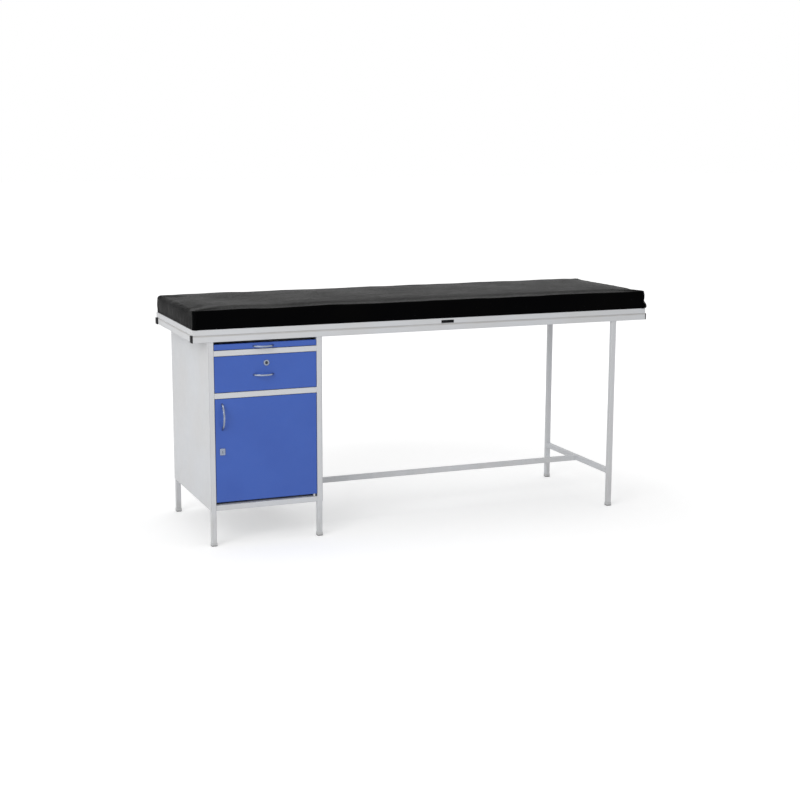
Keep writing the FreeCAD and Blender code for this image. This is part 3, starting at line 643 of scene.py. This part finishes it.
def softened(points, half, pad_height):
    """Rounds a divided box: its bottom and top edges, then its upright corners."""
    x, y, z = points.T.copy()
    inward = np.minimum(half[0] - np.abs(x), half[1] - np.abs(y))
    bottom_rounding = np.full(len(x), PAD_BOTTOM_EDGE)
    for rounding, from_top in ((bottom_rounding, False), (top_rounding(points, half), True)):
        depth = pad_height - z if from_top else z.copy()
        near = (inward < rounding) & (depth < rounding)
        radius = rounding[near]
        in_plan = radius - inward[near]
        in_height = radius - depth[near]
        scale = np.maximum(in_plan, in_height) / np.hypot(in_plan, in_height)
        moved = radius - in_plan * scale
        x[near] *= (half[0] - moved) / (half[0] - inward[near])
        y[near] *= (half[1] - moved) / (half[1] - inward[near])
        rest = radius - in_height * scale
        z[near] = pad_height - rest if from_top else rest
    kept_x = np.clip(x, PAD_CORNER - half[0], half[0] - PAD_CORNER)
    kept_y = np.clip(y, PAD_CORNER - half[1], half[1] - PAD_CORNER)
    out_x = x - kept_x
    out_y = y - kept_y
    length = np.maximum(np.hypot(out_x, out_y), TINY)
    scale = np.where(length > TINY, np.maximum(np.abs(out_x), np.abs(out_y)) / length, 1.0)
    return np.stack([kept_x + out_x * scale, kept_y + out_y * scale, z], 1)


def swelling(half, pad_height):
    """Inflates a coarse pad as cloth over foam, and returns its points and how far each one moved."""
    lattice, faces = divided_pad(half, pad_height, **SWELL_MESH)
    points = softened(lattice, half, pad_height)
    ghost = new_object("swelling", new_mesh("swelling", points, faces))
    held = ghost.vertex_groups.new(name="held")
    held.add([int(i) for i in np.flatnonzero(lattice[:, 2] < BOARD_TOP)], 1.0, "REPLACE")
    cloth = ghost.modifiers.new("cloth", "CLOTH")
    for key, value in CLOTH.items():
        setattr(cloth.settings, key, value)
    cloth.settings.effector_weights.gravity = 0
    cloth.collision_settings.use_collision = False
    cloth.point_cache.frame_start = 1
    cloth.point_cache.frame_end = SWELL_FRAMES
    scene = bpy.context.scene
    for step in range(1, SWELL_FRAMES + 1):
        scene.frame_set(step)
    shown = ghost.evaluated_get(bpy.context.evaluated_depsgraph_get()).to_mesh()
    flat = np.zeros(len(points) * 3, np.float32)
    shown.vertices.foreach_get("co", flat)
    scene.frame_set(1)
    bpy.data.objects.remove(ghost)
    return points, flat.reshape(-1, 3) - points


def swollen(points, faces, half, pad_height):
    """The pad's points after swelling, up to a limit; the foam stops the sides going in."""
    rest, moved = swelling(half, pad_height)
    tree = KDTree(len(rest))
    for i, place in enumerate(rest):
        tree.insert(place, i)
    tree.balance()
    out = points.copy()
    for i, place in enumerate(points):
        near = tree.find_n(place, SWELL_NEIGHBOURS)
        weights = np.array([1 / (distance + SWELL_BLEND) ** 2 for _, _, distance in near])
        out[i] += weights @ moved[[j for _, j, _ in near]] / weights.sum()
    by = out - points
    size = np.linalg.norm(by, axis=1, keepdims=True)
    by *= PAD_MOST_SWELL * np.tanh(size / PAD_MOST_SWELL) / np.maximum(size, TINY)
    normals = normals_of(points, faces)
    outward = (by * normals).sum(1)
    high_up = eased(points[:, 2], pad_height - PAD_SAG_DEPTH, pad_height)
    least = -PAD_MOST_DENT - PAD_MOST_SAG * high_up
    return points + by + normals * np.maximum(least - outward, 0)[:, None]


def ripples(along, across, depth, length, count, seed):
    """Smooth uneven waves of about a given depth and length."""
    chance = np.random.default_rng(seed)
    total = np.zeros(len(along))
    for _ in range(count):
        turn = chance.uniform(0, 2 * math.pi)
        waves = 2 * math.pi / (length * chance.uniform(WAVE_SHORTEST, WAVE_LONGEST))
        phase = chance.uniform(0, 2 * math.pi)
        total += np.sin(waves * (along * math.cos(turn) + across * math.sin(turn)) + phase)
    return depth * (total / count ** 0.5 / WAVE_PEAK)


def corner_folds(lattice, half, pad_height):
    """Height of the folded cover at the upright corners: a wrap that ends in a raised edge."""
    x, y, z = lattice.T
    on_long = np.isclose(np.abs(y), half[1])
    on_end = np.isclose(np.abs(x), half[0])
    down = 1 - z / pad_height
    fade_from = pad_height - FOLD_FADE_FROM
    fade_to = pad_height - FOLD_FADE_TO
    fade = 1 - FOLD_FADE * eased(z, fade_from, fade_to)
    total = np.zeros(len(x))
    for number, (way_x, way_y) in enumerate(((-1, -1), (1, -1), (1, 1), (-1, 1))):
        along = half[0] - way_x * x
        around = half[1] - way_y * y
        place = np.where(on_long, along, -around)
        near_long = on_long & (way_y * y > 0) & (along < FOLD_REACH)
        near_end = on_end & (way_x * x > 0) & (around < FOLD_REACH)
        sway = FOLD_SWAY * np.sin(z * FOLD_SWAY_WAVES + FOLD_SWAY_PHASE * number)
        shake = FOLD_SHAKE * np.sin(z * FOLD_SHAKE_WAVES + number)
        edge = FOLD_PLACE + FOLD_SLANT * down + (sway + shake)
        foot = edge + FOLD_DROP
        rise = eased(place, FOLD_START, edge) * (place <= edge)
        drop = (1 - eased(place, edge, foot)) * (place > edge)
        groove = eased(place, edge, foot) * (1 - eased(place, foot, edge + FOLD_GROOVE_END))
        swirl = 1 + FOLD_SWIRL * np.sin(z * FOLD_SWIRL_WAVES + FOLD_SWIRL_PHASE * number)
        shape = FOLD_HEIGHT * swirl * (rise + drop) - FOLD_GROOVE * groove
        total += np.where(near_long | near_end, shape * fade, 0.0)
    return total


def top_creases(x, y, half):
    """Height of the creases that spread over the top from each corner."""
    total = np.zeros(len(x))
    for way_x in (-1, 1):
        for way_y in (-1, 1):
            from_x = half[0] - way_x * x
            from_y = half[1] - way_y * y
            away = np.hypot(from_x, from_y)
            turn = np.arctan2(from_y, from_x)
            creases = np.sin(turn * CREASE_WAVES + CREASE_PHASE * way_x + way_y)
            creases *= eased(away, *CREASE_RISE)
            total += CREASE_DEPTH * creases * (1 - eased(away, *CREASE_FADE))
    return total


def pad_relief(lattice, half, pad_height):
    """Height of the cover's folds, dents and pulls above its swollen shape."""
    x, y, z = lattice.T
    on_top = np.isclose(z, pad_height)
    on_side = (~on_top) & (z > PAD_UNDERSIDE)
    to_end = half[0] - np.abs(x)
    to_side = half[1] - np.abs(y)
    dents = ripples(x, y, **BROAD_DENTS) + ripples(x, y, **SMALL_DENTS)
    at_edge = 1 - eased(np.minimum(to_end, to_side), 0.0, EDGE_WAVES_REACH)
    edge_waves = ripples(x, EDGE_WAVES_CLOSER * y, **EDGE_WAVES) * at_edge
    run = np.where(np.isclose(np.abs(y), half[1]), x, y + END_RUN_START)
    low = (1 - np.clip(z / pad_height, 0, 1)) ** 2
    pulls = ripples(run, np.zeros(len(run)), **BASE_PULLS) * low
    above_board = np.clip((z - BOARD_TOP) / (pad_height - BOARD_TOP), 0, 1)
    off_corner = eased(np.maximum(to_end, to_side), 0.0, PAD_BULGE_REACH)
    bulge = PAD_BULGE * np.sin(math.pi * above_board) * off_corner
    sides = ripples(run, SIDE_WAVES_CLOSER * z, **SIDE_WAVES) + pulls + bulge
    relief = np.where(on_top, dents + edge_waves, np.where(on_side, sides, 0.0))
    relief += top_creases(x, y, half) * on_top
    relief += corner_folds(lattice, half, pad_height) * on_side
    by_board = on_side & (z < BOARD_TOP + BOARD_MARGIN)
    return np.where(by_board, np.maximum(relief, -PAD_MOST_DENT), relief)


def pad_ear(lattice, half):
    """How far the loose fold at the front right corner stands out to the right, low down."""
    x, y, z = lattice.T
    near = 1 - eased(half[0] - x, *EAR_ALONG)
    near *= 1 - eased(half[1] + y, *EAR_ACROSS)
    low = 1 - eased(z, EAR_FULL, EAR_HEIGHT)
    return EAR_REACH * near * low * eased(z, 0.0, EAR_FOOT)


def upholstered_pad(material):
    """The pad: foam under a stretched cover with folded corners."""
    low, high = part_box("pad_cover")
    size = high - low
    half = (size.x / 2, size.y / 2)
    pad_height = size.z - PAD_START_SMALLER
    lattice, faces = divided_pad(half, pad_height, **PAD_MESH)
    start = softened(lattice, half, pad_height)
    points = swollen(start, faces, half, pad_height)
    points[:, 2] = np.maximum(points[:, 2], 0)
    points += normals_of(points, faces) * pad_relief(lattice, half, pad_height)[:, None]
    points[:, 0] += pad_ear(lattice, half)
    rearward = eased(lattice[:, 1], -half[1] / 2, half[1])
    points[:, 2] -= PAD_REAR_SETTLE * rearward * lattice[:, 2] / pad_height
    points[:, 2] = np.maximum(points[:, 2], 0)
    middle = (low + high) / 2
    points += np.array([middle.x, middle.y, low.z])
    pad = mesh_piece("pad_upholstery", points, faces, material)
    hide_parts("pad_cover", "pad_foam")


def bead(start, end, seed):
    """Points and faces of one weld bead: a rippled rod along a joint, thin at its ends."""
    start = Vector(start)
    run = Vector(end) - start
    count = max(BEAD_LEAST_STEPS, round(run.length / BEAD_STEP))
    side = run.orthogonal().normalized()
    other = run.cross(side).normalized()
    chance = np.random.default_rng(seed)
    points = []
    faces = []
    for i in range(count + 1):
        share = i / count
        taper = min(1.0, BEAD_TIP + BEAD_TAPER * min(share, 1 - share))
        ripple = 1 + BEAD_RIPPLE * math.cos(i * math.pi) + BEAD_UNEVEN * chance.uniform(-1, 1)
        radius = BEAD_RADIUS * taper * ripple
        middle = start + run * share
        for k in range(BEAD_SIDES):
            turn = 2 * math.pi * k / BEAD_SIDES
            points.append(middle + radius * (math.cos(turn) * side + math.sin(turn) * other))
    for i in range(count):
        for k in range(BEAD_SIDES):
            after = (k + 1) % BEAD_SIDES
            row = i * BEAD_SIDES
            faces.append([row + k, row + after, row + BEAD_SIDES + after, row + BEAD_SIDES + k])
    faces.append(list(reversed(range(BEAD_SIDES))))
    faces.append([count * BEAD_SIDES + k for k in range(BEAD_SIDES)])
    return points, faces


def rim_lines(box, sides):
    """Lines along the named sides of a box's top."""
    (x0, y0, _), (x1, y1, z) = box
    found = {
        "front": ((x0, y0, z), (x1, y0, z)),
        "back": ((x0, y1, z), (x1, y1, z)),
        "left": ((x0, y0, z), (x0, y1, z)),
        "right": ((x1, y0, z), (x1, y1, z)),
    }
    return [found[side] for side in sides]


def weld_lines():
    """Where tubes are welded and the bead shows."""
    lines = []
    for leg, sides in LEG_WELDS.items():
        lines += rim_lines(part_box(leg), sides)
    bar_low, bar_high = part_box("right_crossbar")
    for y in (bar_low.y, bar_high.y):
        for z in (bar_low.z, bar_high.z):
            lines.append(((bar_low.x, y, z), (bar_high.x, y, z)))
    rail_low, rail_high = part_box("stretcher")
    for x in (rail_low.x, rail_high.x):
        for y in (rail_low.y, rail_high.y):
            lines.append(((x, y, rail_low.z), (x, y, rail_high.z)))
    for z in (rail_low.z, rail_high.z):
        lines.append(((rail_low.x, rail_low.y, z), (rail_low.x, rail_high.y, z)))
    for tube, inner in (("left_end_tube", 1), ("right_end_tube", 0)):
        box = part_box(tube)
        for y in (box[0].y, box[1].y):
            lines.append(((box[inner].x, y, box[0].z), (box[inner].x, y, box[1].z)))
    return lines


def frame_welds(material):
    """All the weld beads of the frame as one piece."""
    points = []
    faces = []
    for seed, (start, end) in enumerate(weld_lines()):
        made, ring = bead(start, end, seed)
        faces += [[len(points) + i for i in face] for face in ring]
        points += made
    mesh_piece("frame_welds", points, faces, material)


def seen_or_mirrored(tree):
    """1 for rays that show the background itself, in view, in a mirror or through glass."""
    path = new_node(tree, "ShaderNodeLightPath")
    total = plus(tree, path.outputs["Is Camera Ray"], path.outputs["Is Glossy Ray"])
    total = plus(tree, total, path.outputs["Is Transmission Ray"])
    return worked(tree, "MINIMUM", total, 1.0)


def white_floor():
    """A wide pale floor that keeps the shadow and meets a white background."""
    ways = ((-1, -1), (1, -1), (1, 1), (-1, 1))
    corners = [(FLOOR_REACH * way_x, FLOOR_REACH * way_y, 0) for way_x, way_y in ways]
    mesh = new_mesh("studio_floor", corners, [[0, 1, 2, 3]])
    floor = new_object("studio_floor", mesh)
    settings = {
        "Roughness": 0.9,
        "Specular IOR Level": 0.0,
        "Base Color": (FLOOR_COLOUR, FLOOR_COLOUR, FLOOR_COLOUR, 1.0),
        "Emission Color": WHITE_LIGHT,
    }
    material, tree, shader, where = new_material("studio_floor", settings)
    away = new_node(tree, "ShaderNodeVectorMath", {0: where}, operation="LENGTH").outputs["Value"]
    glow = ranged(tree, away, (FLOOR_NEAR, FLOOR_FAR), (FLOOR_GLOW, FLOOR_FAR_GLOW))
    tree.links.new(times(tree, seen_or_mirrored(tree), glow), shader.inputs["Emission Strength"])
    mesh.materials.append(material)


def white_world():
    """An even sky that lights the object softly and shows as white."""
    world = bpy.data.worlds.new("studio")
    bpy.context.scene.world = world
    world.use_nodes = True
    tree = world.node_tree
    sky = tree.nodes["Background"]
    sky.inputs["Color"].default_value = WHITE_LIGHT
    strength = ranged(tree, seen_or_mirrored(tree), (0.0, 1.0), (SKY_LIGHT, BACKGROUND))
    tree.links.new(strength, sky.inputs["Strength"])


def soft_light(name, place, aim, size, power):
    """A large square lamp pointed at a place."""
    lamp = bpy.data.lights.new(name, "AREA")
    lamp.shape = "SQUARE"
    lamp.size = size
    lamp.energy = power
    light = new_object(name, lamp)
    light.location = place
    light.rotation_euler = (Vector(aim) - Vector(place)).to_track_quat("-Z", "Y").to_euler()


def photo_camera():
    """A camera at the place and angle that the photograph was taken from."""
    data = bpy.data.cameras.new("camera")
    data.lens = CAMERA_LENS
    data.sensor_width = CAMERA_SENSOR
    data.clip_end = CAMERA_SEES_TO
    camera = new_object("camera", data)
    camera.location = CAMERA_PLACE
    camera.rotation_euler = [math.radians(turn) for turn in CAMERA_TURN]
    bpy.context.scene.camera = camera


photo_camera()
white_world()
white_floor()
for lamp_name, lamp_facts in LAMPS.items():
    soft_light(lamp_name, **lamp_facts)
bpy.context.scene.view_settings.view_transform = "Standard"

finishes = finish_materials()
dress_nodes(finishes)
upholstered_pad(finishes["black_leatherette"])
frame_welds(finishes["white_powder_coat"])
